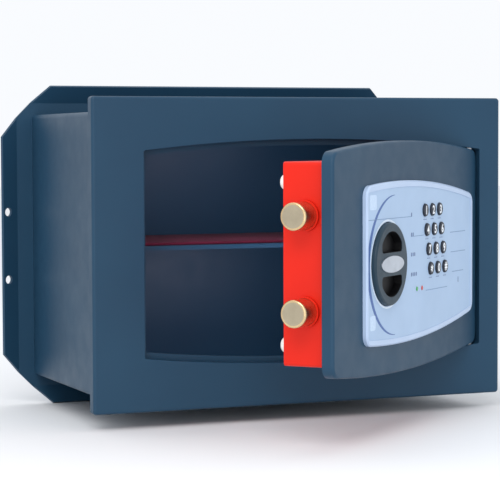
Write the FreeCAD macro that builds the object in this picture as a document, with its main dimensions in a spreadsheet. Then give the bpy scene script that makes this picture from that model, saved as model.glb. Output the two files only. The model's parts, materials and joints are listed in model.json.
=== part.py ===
"""Wall safe with a concealed-hinge door, a hand-turned double bolt lock and an electronic keypad.

Millimetres, +Z up, +Y into the wall. The origin is on the rear plate's back face, behind the middle of
the front plate, which looks along -Y. The door stands open on its hinge with both bolts thrown: everything on
the door is drawn as if the door were shut and is then turned about the hinge pins by door_angle.
"""

import FreeCAD, Part

import math
import os
import re

import Sketcher

DIMENSIONS = {
    # case
    "overall_depth": 205, "front_width": 390, "front_height": 270, "front_thick": 10,
    "front_round": 2.5, "front_corner": 3, "lip_round": 0.6, "over": 1,
    "body_width": 378, "body_height": 244, "shell_thick": 3, "shell_corner": 4,
    # opening, whose top and bottom edges are long arcs
    "opening_left": -148.5, "opening_right": 174.5, "opening_peak": 98.2,
    "arch_radius": 1400, "opening_corner": 2,
    "stop_thick": 3, "stop_lip": 5, "stop_left_lip": 4, "stop_corner": 2,
    "stop_hinge_from": 140, "stop_hinge_to": 176,
    # rear plate with its rim bent forward
    "rear_thick": 3, "rear_width": 395, "rear_height": 266.8, "rear_corner": 14.5, "rear_shift": -7,
    "rim_width": 17.5, "rim_angle": 25, "rim_hole": 8, "rim_hole_set": 11.5, "rim_hole_pitch": 63,
    # shelf and mats
    "shelf_top": 4.5, "shelf_thick": 1.5, "shelf_front": 55, "shelf_back": 200, "shelf_lip": 4,
    "rail_width": 12, "rail_setback": 2, "lip_gap": 1, "mat_thick": 3, "mat_margin": 6,
    # door and hinge
    "door_angle": 41.25, "door_gap": 1.5, "door_thick": 10, "door_round": 2.5, "door_corner": 10.5,
    "pin_x": 166, "pin_depth": 5, "pin_diameter": 6, "pin_clearance": 0.05,
    "pin_tip": 104, "pin_root": 74,
    # lock case behind the door
    "case_left": -139, "case_right": 130, "case_half": 80.5, "case_depth": 36.5, "case_wall": 1.5,
    "case_corner": 3, "stud_diameter": 5, "stud_inset": 8, "stud_height": 64.3,
    "cap_diameter": 13, "cap_reach": 5, "cap_dome": 4,
    # bolts and the bar that carries them
    "lock_line": -4, "bolt_line": 0.6, "bolt_diameter": 22, "bolt_spread": 37.7, "bolt_tip": -161,
    "bolt_length": 48, "bolt_depth": 28, "bolt_throw": 20, "bolt_round": 1.5,
    "bush_reach": 2.5, "bush_wall": 1, "bush_flange": 1.5, "bush_length": 9, "bush_clearance": 0.1,
    "bar_thick": 4, "bar_below": 16, "bar_above": 24, "bar_right": 2, "yoke_half": 52,
    "post_diameter": 6, "post_first": -80, "post_second": -8, "post_height": 8,
    "slot_play": 0.2, "clip_thick": 1.2, "clip_diameter": 12, "post_end": 1, "cam_pin_end": 1.5,
    "keeper_height": 124, "keeper_hole": 23, "keeper_reach": 45, "keeper_thick": 3,
    # knob, spindle and cam
    "knob_x": -46.3, "knob_diameter": 68, "knob_height": 10, "knob_well": 3, "knob_recess": 54, "recess_width": 42,
    "recess_corner": 3, "recess_depth": 8, "grip_width": 19, "inlay_thick": 0.5,
    "badge_length": 47, "badge_width": 13.6, "badge_thick": 0.8, "spindle_diameter": 10,
    "cam_diameter": 40, "cam_front": 18, "cam_thick": 4, "cam_arm": 14.14, "cam_pin": 6, "cam_slot": 7,
    # control panel
    "panel_left": -90, "panel_right": 152.5, "panel_half": 67.5, "panel_arch": 900, "panel_middle": -10,
    "panel_corner": 10, "panel_thick": 4, "panel_bevel": 1.2, "panel_border": 5, "panel_left_border": 2.5,
    "panel_sink": 1, "overlay_thick": 0.5, "panel_wall": 1.2, "knob_hole": 69,
    # keypad
    "key_left": 36, "key_top": 37.4, "key_pitch": 16.8, "key_slant": 4.3, "key_diameter": 10.8,
    "key_proud": 1.6, "key_gap": 0.3, "key_flange": 12.8, "key_flange_thick": 0.8,
    "solenoid_x": -72, "solenoid_width": 20, "solenoid_height": 28, "bracket_margin": 4,
    "coil_floor": 4, "coil_play": 0.1, "plunger_gap": 1, "plunger_foot": 1, "plunger_nose": 3,
    "plunger_diameter": 6, "notch_width": 7.2, "notch_depth": 5,
    "knob_play": 0.5, "knob_round": 2, "knob_socket": 3, "cable_hole": 16,
    "key_round": 0.8, "key_slack": 0.1, "board_well": 2.2, "board_back": 0.4, "keypad_thick": 1.2, "led_round": 0.5,
    "screw_diameter": 10, "screw_head": 3, "stud_end": 3, "spindle_bush_end": 3, "cavity_slack": 1,
    # electronics
    "board_left": 30, "board_low": -72, "board_length": 80, "board_height": 58, "board_depth": 20,
    "spacer_inset": 5, "spacer_diameter": 6,
    "holder_left": 58, "holder_low": 4, "holder_wall": 1.5, "holder_floor": 1, "holder_side": 13.6,
    "cell_length": 50.5, "cell_diameter": 14.5, "cell_pitch": 15, "cell_play": 1, "cell_lift": 0.1,
    "cable_diameter": 3, "cable_lift": 4, "cable_drop": 12, "battery_cable_inset": 40.4,
    "battery_cable_drop": 6, "coil_cable_inset": 6, "coil_cable_drop": 20,
    "board_thick": 1.6, "led_diameter": 4, "led_green_x": 17.8, "led_red_x": 29.4, "led_height": -28.6,
}

# "over" is how far a cutter runs past what it cuts
# places worked out from the dimensions; a depth counts back from the front face, so it is negative in front
ARCH_MIDDLE = "(opening_left + opening_right) / 2"
PANEL_FACE = "panel_sink - overlay_thick - panel_thick"
KNOB_BACK = "knob_well - knob_play"
BOARD_FRONT = "board_well - board_back - keypad_thick"
BOARD_ROOM = "panel_thick - panel_sink - panel_wall"
KEYPAD_X = "key_left + key_pitch + 1.5 * key_slant"
KEYPAD_RIGHT = "key_left + 2 * key_pitch + 3 * key_slant + key_flange"

SHEET = "Dimensions"
BAD_STATES = ("Invalid", "Error")
TOUCH = 1e-4
PARALLEL = 0.99
HOUSING = "housing"
DOOR = "door"

document = FreeCAD.newDocument("wall_safe")
sheet = document.addObject("Spreadsheet::Sheet", SHEET)
for row, (alias, size) in enumerate(DIMENSIONS.items(), start=1):
    sheet.set(f"A{row}", alias)
    sheet.set(f"B{row}", str(size))
    sheet.setAlias(f"B{row}", alias)
document.recompute()

nodes = []


# ---------------------------------------------------------------- helpers

def cell(text):
    """Writes a formula of aliases as an expression on the sheet."""

    def named(word):
        return f"{SHEET}.{word[0]}" if word[0] in DIMENSIONS else word[0]

    return re.sub(r"[a-z]\w*", named, text)


def value(text):
    """The formula's present value."""
    return float(sheet.evalExpression(cell(text)))


def bind(thing, **formulas):
    """Binds a thing's properties to formulas of aliases."""
    for name, text in formulas.items():
        thing.setExpression(name, cell(text))


def at_depth(text):
    """The y of a place measured back from the front face."""
    return f"({text}) - overall_depth"


def seat(thing, mounted_on=HOUSING, x="0", y="0", z="0"):
    """Places a thing, turning it with the door about the hinge pins where it is mounted on the door."""
    if mounted_on == DOOR:
        across = f"(({x}) - pin_x)"
        back = f"(({y}) - (pin_depth - overall_depth))"
        x, y = (
            f"pin_x + {across} * cos(door_angle) - {back} * sin(door_angle)",
            f"pin_depth - overall_depth + {across} * sin(door_angle) + {back} * cos(door_angle)",
        )
        thing.Placement = FreeCAD.Placement(FreeCAD.Vector(), FreeCAD.Rotation(0, 0, 1, 0))
        thing.setExpression("Placement.Rotation.Angle", cell("door_angle"))
    thing.setExpression("Placement.Base.x", cell(x))
    thing.setExpression("Placement.Base.y", cell(y))
    thing.setExpression("Placement.Base.z", cell(z))


def finish(thing, label, mounted_on=HOUSING, **place):
    """Names a finished sub-part, seats it and lists it for export."""
    thing.Label = label
    seat(thing, mounted_on, **place)
    nodes.append(thing)
    return thing


def new_body(name):
    return document.addObject("PartDesign::Body", name + "_body")


def new_sketch(body, plane="XZ_Plane", offset=None):
    """A sketch on one of the body's origin planes, moved along the plane's normal by a formula."""
    sketch = body.newObject("Sketcher::SketchObject", body.Name + "_sketch")
    features = body.Origin.OriginFeatures
    sketch.AttachmentSupport = [([feature for feature in features if feature.Role == plane][0], "")]
    sketch.MapMode = "FlatFace"
    if offset:
        sketch.setExpression("AttachmentOffset.Base.z", cell(offset))
    return sketch


def dimension(sketch, kind, places, text):
    """A driving dimension of a sketch, bound to the sheet."""
    index = sketch.addConstraint(Sketcher.Constraint(kind, *places, value(text)))
    sketch.setExpression(f"Constraints[{index}]", cell(text))


def rectangle(sketch, left, right, low, high):
    corners = [(left, low), (right, low), (right, high), (left, high)]
    points = [FreeCAD.Vector(value(across), value(up), 0) for across, up in corners]
    first = sketch.GeometryCount
    for start, end in zip(points, points[1:] + points[:1]):
        sketch.addGeometry(Part.LineSegment(start, end), False)
    for side in range(4):
        sketch.addConstraint(Sketcher.Constraint("Coincident", first + side, 2, first + (side + 1) % 4, 1))
        direction = "Horizontal" if side % 2 == 0 else "Vertical"
        sketch.addConstraint(Sketcher.Constraint(direction, first + side))
    dimension(sketch, "DistanceX", (-1, 1, first, 1), left)
    dimension(sketch, "DistanceX", (-1, 1, first + 1, 2), right)
    dimension(sketch, "DistanceY", (-1, 1, first, 1), low)
    dimension(sketch, "DistanceY", (-1, 1, first + 2, 1), high)


def circle(sketch, across, up, radius):
    centre = FreeCAD.Vector(value(across), value(up), 0)
    index = sketch.addGeometry(Part.Circle(centre, FreeCAD.Vector(0, 0, 1), value(radius)), False)
    if across == up == "0":
        sketch.addConstraint(Sketcher.Constraint("Coincident", index, 3, -1, 1))
    else:
        dimension(sketch, "DistanceX", (-1, 1, index, 3), across)
        dimension(sketch, "DistanceY", (-1, 1, index, 3), up)
    dimension(sketch, "Radius", (index,), radius)


def arched_outline(sketch, left, right, peak, radius, middle, level="0"):
    """Two upright sides joined above and below by long arcs that bulge outwards from `level`."""
    mid, half, base, reach = value(middle), value(peak), value(level), value(radius)

    def arc_height(across):
        return half - reach + math.sqrt(reach**2 - (across - mid) ** 2)

    def point(across, sign, rise):
        return FreeCAD.Vector(across, base + sign * rise, 0)

    near, far = value(left), value(right)
    first = sketch.GeometryCount
    for across in (near, far):
        ends = point(across, -1, arc_height(across)), point(across, 1, arc_height(across))
        sketch.addGeometry(Part.LineSegment(*ends), False)
        sketch.addConstraint(Sketcher.Constraint("Vertical", sketch.GeometryCount - 1))
    for sign in (1, -1):
        ends = point(near, sign, arc_height(near)), point(far, sign, arc_height(far))
        sketch.addGeometry(Part.Arc(ends[0], point(mid, sign, half), ends[1]), False)
    upper, lower = first + 2, first + 3
    # an arc runs anticlockwise, so the upper one starts at the right and the lower one at the left
    for line, end, arc, arc_end in ((0, 2, upper, 2), (1, 2, upper, 1), (0, 1, lower, 1), (1, 1, lower, 2)):
        sketch.addConstraint(Sketcher.Constraint("Coincident", first + line, end, arc, arc_end))
    dimension(sketch, "DistanceX", (-1, 1, first, 1), left)
    dimension(sketch, "DistanceX", (-1, 1, first + 1, 1), right)
    for arc, sign in ((upper, ""), (lower, "-")):
        dimension(sketch, "Radius", (arc,), radius)
        dimension(sketch, "DistanceX", (-1, 1, arc, 3), middle)
        dimension(sketch, "DistanceY", (-1, 1, arc, 3), f"{level} + {sign}(({peak}) - ({radius}))")


def pad(body, sketch, length, backwards=False, both_ways=False):
    feature = body.newObject("PartDesign::Pad", body.Name + "_pad")
    feature.Profile = sketch
    feature.Reversed = backwards
    feature.Midplane = both_ways
    bind(feature, Length=length)
    document.recompute()
    return feature


def pocket(body, sketch, length, forwards=False, both_ways=False):
    """Cuts a sketch out of a body, and refuses a cut that removes nothing."""
    before = body.Shape.Volume
    feature = body.newObject("PartDesign::Pocket", body.Name + "_pocket")
    feature.Profile = sketch
    feature.Reversed = forwards
    feature.Midplane = both_ways
    bind(feature, Length=length)
    document.recompute()
    if body.Shape.Volume > before - TOUCH:
        raise RuntimeError(f"{body.Name}: a pocket cuts nothing")
    return feature


def edges(shape, wanted):
    """The names of the edges whose middle and direction pass a test."""
    names = []
    for index, edge in enumerate(shape.Edges, start=1):
        middle = edge.valueAt((edge.FirstParameter + edge.LastParameter) / 2)
        along = edge.tangentAt((edge.FirstParameter + edge.LastParameter) / 2)
        if wanted(middle, along, edge.BoundBox):
            names.append(f"Edge{index}")
    return names


def fillet(body, wanted, radius, kind="Fillet", size="Radius"):
    """Rounds, or chamfers, the body's edges that pass a test."""
    tip = body.Tip
    feature = body.newObject("PartDesign::" + kind, body.Name + "_" + kind.lower())
    feature.Base = (tip, edges(tip.Shape, wanted))
    bind(feature, **{size: radius})
    document.recompute()
    return feature


def chamfer(body, wanted, length):
    return fillet(body, wanted, length, "Chamfer", "Size")


def corner_edges(middle, along, box):
    return abs(along.y) > PARALLEL


def at_y(place):
    """A test for edges that lie in the plane y = place, in the body's own frame."""
    return lambda middle, along, box: abs(box.YMin - place) < TOUCH and abs(box.YMax - place) < TOUCH


def within(wanted, half_width, half_height):
    """A test for the edges that pass another test and have their middle inside a centred rectangle."""
    across, up = value(half_width), value(half_height)
    return lambda middle, along, box: (
        wanted(middle, along, box) and abs(middle.x) < across and abs(middle.z) < up
    )


def box(name, x, y, z, length, width, height):
    """A block from its least corner, with every size and place a formula."""
    block = document.addObject("Part::Box", name)
    bind(block, Length=length, Width=width, Height=height)
    seat(block, x=x, y=y, z=z)
    return block


def rod(name, axis, x, y, z, radius, length):
    """A cylinder along x, y or z from the centre of its first end."""
    cylinder = document.addObject("Part::Cylinder", name)
    along = {"x": FreeCAD.Vector(1, 0, 0), "y": FreeCAD.Vector(0, 1, 0), "z": FreeCAD.Vector(0, 0, 1)}[axis]
    turn = FreeCAD.Rotation(FreeCAD.Vector(0, 0, 1), along)
    cylinder.Placement = FreeCAD.Placement(FreeCAD.Vector(), turn)
    bind(cylinder, Radius=radius, Height=length)
    seat(cylinder, x=x, y=y, z=z)
    return cylinder


def fuse(name, *pieces):
    joined = document.addObject("Part::MultiFuse", name)
    joined.Shapes = list(pieces)
    return joined


def cut(name, solid, *tools):
    """A solid less one tool or several."""
    result = document.addObject("Part::Cut", name)
    result.Base = solid
    result.Tool = tools[0] if len(tools) == 1 else fuse(name + "_tools", *tools)
    return result


def group(name, pieces):
    """One node made of one primitive or of several identical ones."""
    compound = document.addObject("Part::Compound", name)
    compound.Links = list(pieces)
    return compound


# ---------------------------------------------------------------- fixed housing

def front_frame():
    """Thick front plate with the arched door opening and the two hinge pin bores."""
    body = new_body("front_frame")
    outline = new_sketch(body)
    rectangle(outline, "-front_width / 2", "front_width / 2", "-front_height / 2", "front_height / 2")
    pad(body, outline, "front_thick")
    fillet(body, corner_edges, "front_corner")
    fillet(body, at_y(-value("front_thick")), "front_round")
    opening = new_sketch(body)
    arched_outline(opening, "opening_left", "opening_right", "opening_peak", "arch_radius", ARCH_MIDDLE)
    pocket(body, opening, "3 * front_thick", both_ways=True)
    reach = "opening_right + over", "opening_peak + over"
    fillet(body, within(corner_edges, *reach), "opening_corner")
    fillet(body, within(at_y(-value("front_thick")), *reach), "lip_round")
    bores = new_sketch(body, "XY_Plane")
    circle(bores, "pin_x", "pin_depth - front_thick", "pin_diameter / 2 + pin_clearance")
    pocket(body, bores, "2 * pin_tip + over", both_ways=True)
    finish(body, "front_frame", y=at_depth("front_thick"))


def body_shell():
    """Folded and welded box wall, open at the front and at the back."""
    body = new_body("body_shell")
    outline = new_sketch(body)
    rectangle(outline, "-body_width / 2", "body_width / 2", "-body_height / 2", "body_height / 2")
    pad(body, outline, "overall_depth - front_thick - rear_thick")
    fillet(body, corner_edges, "shell_corner")
    hollow = new_sketch(body)
    rectangle(
        hollow,
        "shell_thick - body_width / 2", "body_width / 2 - shell_thick",
        "shell_thick - body_height / 2", "body_height / 2 - shell_thick",
    )
    pocket(body, hollow, "2 * overall_depth", both_ways=True)
    finish(body, "body_shell", y="-rear_thick")


def rim_strip(name, length, side_on):
    """One bent edge of the rear plate, folded along the plate's edge, with its ends cut at 45 degrees."""
    strip = document.addObject("Part::Wedge", name)
    half = f"({length}) / 2 - rear_corner"
    bind(
        strip,
        Xmin=f"-({half})", Xmax=half, Ymin="0", Ymax="rim_width", Zmin="0", Zmax="rear_thick",
        X2min=f"rim_width - ({half})", X2max=f"({half}) - rim_width", Z2min="0", Z2max="rear_thick",
    )
    bend = FreeCAD.Rotation(FreeCAD.Vector(1, 0, 0), 90 + value("rim_angle"))
    roll = FreeCAD.Rotation(FreeCAD.Vector(0, 1, 0), side_on)
    strip.Placement = FreeCAD.Placement(FreeCAD.Vector(), roll.multiply(bend))
    return strip


def rear_plate():
    """Back plate, wider than the body all round, with its rim bent forward to key into the wall."""
    body = new_body("rear_plate")
    outline = new_sketch(body)
    left, right = "rear_shift - rear_width / 2", "rear_shift + rear_width / 2"
    rectangle(outline, left, right, "-rear_height / 2", "rear_height / 2")
    pad(body, outline, "rear_thick")
    chamfer(body, corner_edges, "rear_corner")
    pieces = [body]
    holes = []
    for name, length, side_on, x, z in (
        ("rim_top", "rear_width", 0, "rear_shift", "rear_height / 2"),
        ("rim_bottom", "rear_width", 180, "rear_shift", "-rear_height / 2"),
        ("rim_right", "rear_height", 90, right, "0"),
        ("rim_left", "rear_height", -90, left, "0"),
    ):
        strip = rim_strip(name, length, side_on)
        seat(strip, x=x, z=z)
        pieces.append(strip)
        if z == "0":
            holes += [rim_hole(f"{name}_hole_{sign}", side_on, x, sign) for sign in (-1, 1)]
    finish(cut("rear_plate", fuse("rear_plate_sheet", *pieces), *holes), "rear_plate")


def rim_hole(name, side_on, x, sign):
    """The cutter of one fixing hole, square to the bent strip."""
    outward = 1 if side_on > 0 else -1
    lean = math.radians(value("rim_angle"))
    through = FreeCAD.Vector(-outward * math.sin(lean), -math.cos(lean), 0)
    turn = FreeCAD.Rotation(FreeCAD.Vector(0, 0, 1), through)
    cutter = document.addObject("Part::Cylinder", name)
    bind(cutter, Radius="rim_hole / 2", Height="3 * rear_thick")
    cutter.Placement = FreeCAD.Placement(FreeCAD.Vector(), turn)
    seat(
        cutter,
        x=f"{x} + {outward} * (rim_hole_set * cos(rim_angle) + rear_thick * sin(rim_angle))",
        y="rear_thick * cos(rim_angle) - rim_hole_set * sin(rim_angle)",
        z=f"{sign} * rim_hole_pitch / 2",
    )
    return cutter


def door_stop_frame():
    """Flat ring behind the front plate that the shut door rests on, cut back beside the hinge."""
    body = new_body("door_stop_frame")
    outline = new_sketch(body)
    inner_width, inner_height = "body_width / 2 - shell_thick", "body_height / 2 - shell_thick"
    rectangle(outline, f"-({inner_width})", inner_width, f"-({inner_height})", inner_height)
    pad(body, outline, "stop_thick")
    inside = new_sketch(body)
    arched_outline(
        inside, "opening_left + stop_left_lip", "stop_hinge_from + over", "opening_peak - stop_lip",
        "arch_radius - stop_lip", ARCH_MIDDLE,
    )
    pocket(body, inside, "3 * stop_thick", both_ways=True)
    left = value("opening_left + stop_left_lip")
    fillet(
        body,
        lambda middle, along, box: corner_edges(middle, along, box) and abs(middle.x - left) < TOUCH,
        "stop_corner",
    )
    beside_hinge = new_sketch(body)
    arched_outline(
        beside_hinge, "stop_hinge_from", "stop_hinge_to", "opening_peak", "arch_radius", ARCH_MIDDLE,
    )
    pocket(body, beside_hinge, "3 * stop_thick", both_ways=True)
    finish(body, "door_stop_frame", y=at_depth("front_thick + stop_thick"))


def bolt_keeper():
    """Angle behind the left margin of the front plate, with the two holes that the bolts enter."""
    start = "front_thick + stop_thick"
    edge = "opening_left"
    low = "bolt_line - keeper_height / 2"
    web = box("keeper_web", f"{edge} - keeper_thick", at_depth(start), low,
              "keeper_thick", f"keeper_reach - ({start})", "keeper_height")
    wall = "shell_thick - body_width / 2"
    flange = box("keeper_flange", wall, at_depth(start), low,
                 f"{edge} - ({wall})", "keeper_thick", "keeper_height")
    holes = [
        rod(f"keeper_hole_{sign}", "x", f"{edge} - 2 * keeper_thick", at_depth("bolt_depth"),
            f"bolt_line + {sign} * bolt_spread", "keeper_hole / 2", "3 * keeper_thick")
        for sign in (-1, 1)
    ]
    finish(cut("bolt_keeper", fuse("keeper_angle", web, flange), *holes), "bolt_keeper")


def shelf():
    """Steel shelf with a folded front lip, resting on a rail welded to each side wall."""
    inner = "body_width / 2 - shell_thick"
    top = box("shelf_top", f"-({inner})", at_depth("shelf_front"), "shelf_top - shelf_thick",
              f"2 * ({inner})", "shelf_back - shelf_front", "shelf_thick")
    lip = box("shelf_lip", f"-({inner}) + rail_width + lip_gap", at_depth("shelf_front"),
              "shelf_top - shelf_lip", f"2 * ({inner} - rail_width - lip_gap)", "shelf_thick", "shelf_lip")
    finish(fuse("shelf", top, lip), "shelf")
    rails = []
    for side in ("left", "right"):
        edge = f"-({inner})" if side == "left" else f"{inner} - rail_width"
        wall = f"-({inner})" if side == "left" else f"{inner} - shelf_thick"
        run = "shelf_back - shelf_front - rail_setback"
        under = "shelf_top - 2 * shelf_thick"
        ledge = box(f"rail_{side}_ledge", edge, at_depth("shelf_front + rail_setback"), under,
                    "rail_width", run, "shelf_thick")
        leg = box(f"rail_{side}_leg", wall, at_depth("shelf_front + rail_setback"), f"{under} - rail_width",
                  "shelf_thick", run, "rail_width")
        rails.append(fuse(f"rail_{side}", ledge, leg))
    finish(group("shelf_rails", rails), "shelf_rails")


def mats():
    """Felt mats on the shelf and on the floor."""
    width = "body_width - 2 * shell_thick - 2 * mat_margin"
    for label, front, level in (
        ("shelf_mat", "shelf_front + mat_margin / 2", "shelf_top"),
        ("floor_mat", "front_thick + stop_thick + mat_margin", "shell_thick - body_height / 2"),
    ):
        mat = box(label, "0", "0", "0", width, f"shelf_back - ({front})", "mat_thick")
        finish(mat, label, x=f"-({width}) / 2", y=at_depth(front), z=level)


# ---------------------------------------------------------------- door

def door_panel():
    """Thick door leaf with the same arched outline as the opening, drawn in by the gap."""
    body = new_body("door_panel")
    outline = new_sketch(body)
    arched_outline(
        outline, "opening_left + door_gap", "opening_right - door_gap", "opening_peak - door_gap",
        "arch_radius - door_gap", ARCH_MIDDLE,
    )
    pad(body, outline, "door_thick")
    fillet(body, corner_edges, "door_corner")
    fillet(body, at_y(-value("door_thick")), "door_round")
    holes = new_sketch(body)
    circle(holes, "knob_x", "lock_line", "spindle_diameter / 2 + bush_wall")
    circle(holes, KEYPAD_X, "lock_line", "cable_hole / 2")
    pocket(body, holes, "3 * door_thick", both_ways=True)
    knob_well = new_sketch(body, "XZ_Plane", "door_thick - knob_well")
    circle(knob_well, "knob_x", "lock_line", "knob_hole / 2")
    pocket(body, knob_well, "knob_well", forwards=True)
    board_well = new_sketch(body, "XZ_Plane", "door_thick - board_well")
    keypad_cavity(board_well)
    pocket(body, board_well, "board_well", forwards=True)
    for forwards, offset in ((True, "pin_root"), (False, "-pin_root")):
        bore = new_sketch(body, "XY_Plane", offset)
        circle(bore, "pin_x", "pin_depth - door_thick", "pin_diameter / 2")
        pocket(body, bore, "pin_tip - pin_root", forwards=forwards)
    finish(body, "door_panel", DOOR, y=at_depth("door_thick"))


def hinge_pins():
    """Hardened pins pressed into the top and bottom of the door and turning in the front frame."""
    for label, foot in (("hinge_pin_upper", "pin_root"), ("hinge_pin_lower", "-pin_tip")):
        body = new_body(label)
        outline = new_sketch(body, "XY_Plane")
        circle(outline, "0", "0", "pin_diameter / 2")
        pad(body, outline, "pin_tip - pin_root")
        finish(body, label, DOOR, x="pin_x", y=at_depth("pin_depth"), z=foot)


def case_studs(name, radius, front, reach):
    """Four rods at the corners of the lock case, along y from one depth for a length."""
    places = {"left": "case_left + stud_inset", "right": "case_right - stud_inset"}
    return [
        rod(f"{name}_{side}_{sign}", "y", place, at_depth(front), f"{sign} * stud_height", radius, reach)
        for side, place in places.items()
        for sign in (-1, 1)
    ]


def lock_case():
    """Box that covers the lock work: a four-sided wall, a back cover, four studs and their cap nuts."""
    body = new_body("lock_case")
    outline = new_sketch(body)
    rectangle(outline, "case_left", "case_right", "-case_half", "case_half")
    pad(body, outline, "case_depth - case_wall")
    fillet(body, corner_edges, "case_corner")
    hollow = new_sketch(body)
    rectangle(hollow, "case_left + case_wall", "case_right - case_wall",
              "case_wall - case_half", "case_half - case_wall")
    pocket(body, hollow, "3 * case_depth", both_ways=True)
    bolt_holes = new_sketch(body, "YZ_Plane", "case_left + case_wall / 2")
    for sign in ("", "-"):
        circle(bolt_holes, "bolt_depth - door_thick - case_depth + case_wall",
               f"bolt_line + {sign}bolt_spread", "bolt_diameter / 2 + bush_clearance + bush_wall")
    pocket(body, bolt_holes, "2 * case_wall", both_ways=True)
    finish(body, "lock_case", DOOR, y=at_depth("door_thick + case_depth - case_wall"))

    cover = new_body("lock_case_cover")
    sheet_outline = new_sketch(cover)
    rectangle(sheet_outline, "case_left", "case_right", "-case_half", "case_half")
    pad(cover, sheet_outline, "case_wall")
    fillet(cover, corner_edges, "case_corner")
    holes = new_sketch(cover)
    for across in ("case_left + stud_inset", "case_right - stud_inset"):
        for sign in ("", "-"):
            circle(holes, across, f"{sign}stud_height", "stud_diameter / 2")
    pocket(cover, holes, "3 * case_wall", both_ways=True)
    finish(cover, "lock_case_cover", DOOR, y=at_depth("door_thick + case_depth"))

    studs = case_studs("stud", "stud_diameter / 2", "door_thick", "case_depth + stud_end")
    finish(group("case_studs", studs), "case_studs", DOOR)
    back = "door_thick + case_depth"
    nuts = []
    for blank, bore in zip(
        case_studs("nut", "cap_diameter / 2", back, "cap_reach"),
        case_studs("nut_bore", "stud_diameter / 2", f"{back} - over", "stud_end + over"),
    ):
        domed = document.addObject("Part::Fillet", blank.Name + "_dome")
        domed.Base = blank
        document.recompute()
        far = blank.Shape.BoundBox.YMax
        rims = [i for i, edge in enumerate(blank.Shape.Edges, start=1) if edge.BoundBox.YMin > far - TOUCH]
        domed.Edges = [(i, value("cap_dome"), value("cap_dome")) for i in rims]
        nuts.append(cut(blank.Name + "_nut", domed, bore))
    finish(group("cap_nuts", nuts), "cap_nuts", DOOR)


# ---------------------------------------------------------------- bolt work

def bolt_bushes():
    """Flanged bushes in the side of the lock case that carry the bolts."""
    bushes = []
    for sign in (-1, 1):
        place = at_depth("bolt_depth"), f"bolt_line + {sign} * bolt_spread"
        inner = "bolt_diameter / 2 + bush_clearance"
        flange = rod(f"bush_flange_{sign}", "x", "case_left - bush_reach", *place,
                     f"{inner} + bush_flange", "bush_reach")
        sleeve = rod(f"bush_sleeve_{sign}", "x", "case_left - bush_reach", *place,
                     f"{inner} + bush_wall", "bush_length")
        bore = rod(f"bush_bore_{sign}", "x", "case_left - 2 * bush_reach", *place, inner, "2 * bush_length")
        bushes.append(cut(f"bush_{sign}", fuse(f"bush_solid_{sign}", flange, sleeve), bore))
    finish(group("bolt_bushes", bushes), "bolt_bushes", DOOR)


def bolts():
    """Two round live bolts, screwed to the yoke of the bar that slides them."""
    for label, sign in (("bolt_upper", ""), ("bolt_lower", "-")):
        body = new_body(label)
        outline = new_sketch(body, "YZ_Plane")
        circle(outline, "bolt_diameter", f"bolt_line + {sign}bolt_spread", "bolt_diameter / 2")
        pad(body, outline, "bolt_length")
        fillet(body, lambda middle, along, box: abs(box.XMax) < TOUCH, "bolt_round")
        finish(body, label, DOOR, x="bolt_tip", y=at_depth("bolt_depth - bolt_diameter"))
    yoke_x = "bolt_tip + bolt_length"
    screws = [
        rod(f"bolt_screw_{sign}", "x", f"{yoke_x} + bar_thick", at_depth("bolt_depth"),
            f"bolt_line + {sign} * bolt_spread", "screw_diameter / 2", "screw_head")
        for sign in (-1, 1)
    ]
    finish(group("bolt_screws", screws), "bolt_screws", DOOR)


def bolt_bar():
    """Bar that joins the bolts: an upright yoke and a flat arm with slots for the cam pin and the posts."""
    yoke_x = "bolt_tip + bolt_length"
    half = "bolt_diameter / 2"
    yoke = box("bar_yoke", yoke_x, at_depth(f"bolt_depth - {half}"), "bolt_line - yoke_half",
               "bar_thick", "bolt_diameter", "2 * yoke_half")
    arm_x = f"{yoke_x} + bar_thick / 2"
    arm_y = at_depth("bolt_depth - bar_thick / 2")
    arm = box("bar_arm", arm_x, arm_y, "lock_line - bar_below",
              f"bar_right - ({arm_x})", "bar_thick", "bar_below + bar_above")
    through = at_depth("bolt_depth - bar_thick")
    tools = []
    radius = "post_diameter / 2 + slot_play"
    level = "lock_line + post_height"
    for index, post in enumerate(("post_first", "post_second")):
        drawn = f"{post} - bolt_throw"
        tools += [
            rod(f"slot_{index}_start", "y", drawn, through, level, radius, "2 * bar_thick"),
            rod(f"slot_{index}_end", "y", post, through, level, radius, "2 * bar_thick"),
            box(f"slot_{index}_run", drawn, through, f"{level} - ({radius})",
                "bolt_throw", "2 * bar_thick", f"2 * ({radius})"),
        ]
    cam_x = "knob_x - cam_arm * sin(45)"
    cam_low, cam_high = "lock_line + cam_arm * cos(45)", "lock_line + cam_arm"
    tools += [
        rod("cam_slot_low", "y", cam_x, through, cam_low, "cam_slot / 2", "2 * bar_thick"),
        rod("cam_slot_high", "y", cam_x, through, cam_high, "cam_slot / 2", "2 * bar_thick"),
        box("cam_slot_run", f"{cam_x} - cam_slot / 2", through, cam_low,
            "cam_slot", "2 * bar_thick", f"{cam_high} - ({cam_low})"),
    ]
    for index in range(2):
        notch_x = f"solenoid_x - notch_width / 2 - {index} * bolt_throw"
        tools.append(box(f"notch_{index}", notch_x, through, "lock_line - bar_below - over",
                         "notch_width", "2 * bar_thick", "notch_depth + over"))
    finish(cut("bolt_bar", fuse("bar_blank", yoke, arm), *tools), "bolt_bar", DOOR)


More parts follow.
